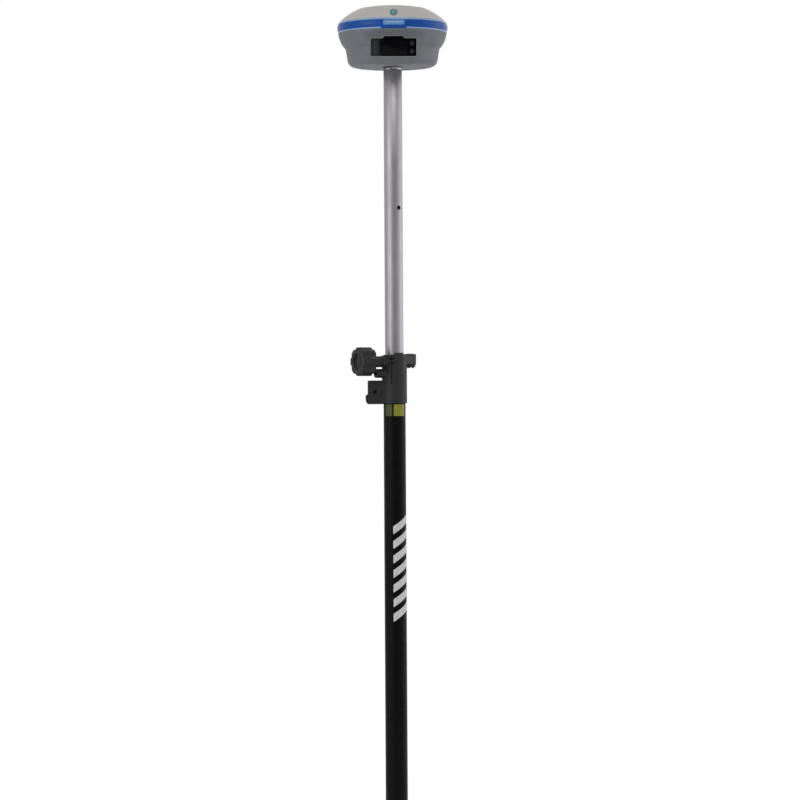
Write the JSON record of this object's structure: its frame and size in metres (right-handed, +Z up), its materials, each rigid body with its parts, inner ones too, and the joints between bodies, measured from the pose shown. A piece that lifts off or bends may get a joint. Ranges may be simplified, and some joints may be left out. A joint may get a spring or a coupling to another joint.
{
  "type": "gnss receiver on survey pole",
  "caption": "Round satellite positioning receiver with a domed cover, coloured ring and front display, screwed on a telescopic survey pole with a knob clamp, height latch and bubble level.",
  "frame": {"origin": "the pole's point, on the ground mark", "axes": "+Z up along the pole, -Y the side that the receiver's display faces"},
  "size_m": [0.152, 0.152, 1.829],
  "materials": {
    "dome_white": "fine satin moulded",
    "mark_teal": "printed",
    "ring_blue": "polished",
    "badge_blue": "satin",
    "housing_grey": "fine texture",
    "bezel_grey": "satin",
    "display_black": "polished",
    "oled_dark": "gloss",
    "led_green": "clear",
    "key_rubber": "matte",
    "seal_rubber": "matte",
    "brass": "turned",
    "steel": "turned",
    "screw_dark": "black oxide",
    "board_green": "solder mask",
    "tin": "tin plate",
    "plate_aluminium": "sheet",
    "ceramic": "fired",
    "lead_jacket": "satin",
    "tray_black": "moulded",
    "cell_wrap": "shrink film",
    "port_metal": "nickel",
    "cap_rubber": "matte",
    "nylon_black": "satin",
    "nylon_white": "satin",
    "tube_silver": "satin anodised",
    "pole_black": "semi-gloss",
    "foot_black": "satin",
    "collar_black": "satin cast",
    "knob_black": "moulded",
    "lever_black": "moulded",
    "marker_yellow": "printed film",
    "graphic_white": "printed",
    "vial_metal": "satin",
    "vial_lens": "clear"
  },
  "bodies": {
    "pole": {"lower_tube": "pole_black", "foot_ferrule": "foot_black", "point_tip": "steel", "clamp_collar": "collar_black", "collar_bush": "nylon_black", "collar_screw": "screw_dark", "latch_pivot": "screw_dark", "latch_spring": "steel", "vial_body": "vial_metal", "vial_lens": "vial_lens", "vial_screws": "steel", "marker_band": "marker_yellow", "pole_graphic": "graphic_white"},
    "clamp_pad": {"thrust_washer": "screw_dark", "pressure_pad": "nylon_white"},
    "knob": {"clamp_knob": "knob_black", "clamp_screw": "steel", "knob_cap": "knob_black"},
    "latch": {"latch_lever": "lever_black"},
    "plunger": {"latch_plunger": "steel"},
    "tube_guide": {"guide_bush": "nylon_white"},
    "extension": {"upper_tube": "tube_silver", "stud_adapter": "steel"},
    "stud_washer": {"mount_washer": "nylon_black"},
    "receiver": {"dome_cover": "dome_white", "dome_mark": "mark_teal", "accent_ring": "ring_blue", "ring_badge": "badge_blue", "seal_ring": "seal_rubber", "lower_housing": "housing_grey", "mount_insert": "port_metal", "case_screws": "screw_dark", "front_bezel": "bezel_grey", "display_glass": "display_black", "oled_module": "oled_dark", "status_leds": "led_green", "key_board": "board_green", "main_board": "board_green", "shield_cans": "tin", "board_standoffs": "brass", "antenna_plate": "plate_aluminium", "antenna_standoffs": "brass", "antenna_patch_lower": "ceramic", "antenna_patch_upper": "ceramic", "antenna_lead": "lead_jacket", "battery_tray": "tray_black", "battery_cells": "cell_wrap", "data_port": "port_metal", "radio_port": "brass", "usb_socket": "port_metal"},
    "power_key": {"power_button": "key_rubber"},
    "function_key": {"function_button": "key_rubber"},
    "port_cap": {"data_port_cap": "cap_rubber"},
    "port_flap": {"usb_flap": "cap_rubber"}
  },
  "joints": [
    {"name": "telescope", "type": "slide", "parent": "pole", "child": "tube_guide", "axis": [0, 0, 1], "range_m": [-0.37, 0.45]},
    {"name": "tube_swivel", "type": "hinge", "parent": "tube_guide", "child": "extension", "pos_m": [0, 0, 1], "axis": [0, 0, 1], "continuous": true},
    {"name": "receiver_lift", "type": "slide", "parent": "extension", "child": "stud_washer", "axis": [0, 0, 1], "range_m": [0, 0.01154]},
    {"name": "receiver_turn", "type": "hinge", "parent": "stud_washer", "child": "receiver", "pos_m": [0, 0, 1.745], "axis": [0, 0, 1], "range_deg": [0, 1800]},
    {"name": "power_press", "type": "slide", "parent": "receiver", "child": "power_key", "axis": [0, 0.9781, 0.2079], "range_m": [0, 0.0007], "stiffness_N_per_m": 700, "springref_m": -0.0006},
    {"name": "function_press", "type": "slide", "parent": "receiver", "child": "function_key", "axis": [0, 0.9781, 0.2079], "range_m": [0, 0.0007], "stiffness_N_per_m": 700, "springref_m": -0.0006},
    {"name": "port_cap_pull", "type": "slide", "parent": "receiver", "child": "port_cap", "axis": [0, 1, 0], "range_m": [0, 0.008]},
    {"name": "port_flap_turn", "type": "hinge", "parent": "receiver", "child": "port_flap", "pos_m": [0, 0.0547, 1.7719], "axis": [1, 0, 0], "range_deg": [0, 100]},
    {"name": "clamp_travel", "type": "slide", "parent": "pole", "child": "clamp_pad", "axis": [-0.866, -0.5, 0], "range_m": [0, 0.0025]},
    {"name": "knob_turn", "type": "hinge", "parent": "clamp_pad", "child": "knob", "pos_m": [0, 0, 1.3401], "axis": [-0.866, -0.5, 0], "range_deg": [0, 720]},
    {"name": "latch_turn", "type": "hinge", "parent": "pole", "child": "latch", "pos_m": [-0.0269, -0.00235, 1.2985], "axis": [0.0872, -0.9962, 0], "range_deg": [0, 18], "stiffness_Nm_per_rad": 0.12, "springref_deg": -20.05, "deforming": ["latch_spring"]},
    {"name": "plunger_pull", "type": "slide", "parent": "pole", "child": "plunger", "axis": [-0.9962, -0.0872, 0], "range_m": [0, 0.0025]}
  ],
  "couplings": [
    {"joint": "receiver_turn", "follows": "receiver_lift", "rad_per_m": 2721.1},
    {"joint": "knob_turn", "follows": "clamp_travel", "rad_per_m": 5026.5},
    {"joint": "latch_turn", "follows": "plunger_pull", "rad_per_m": 125}
  ]
}
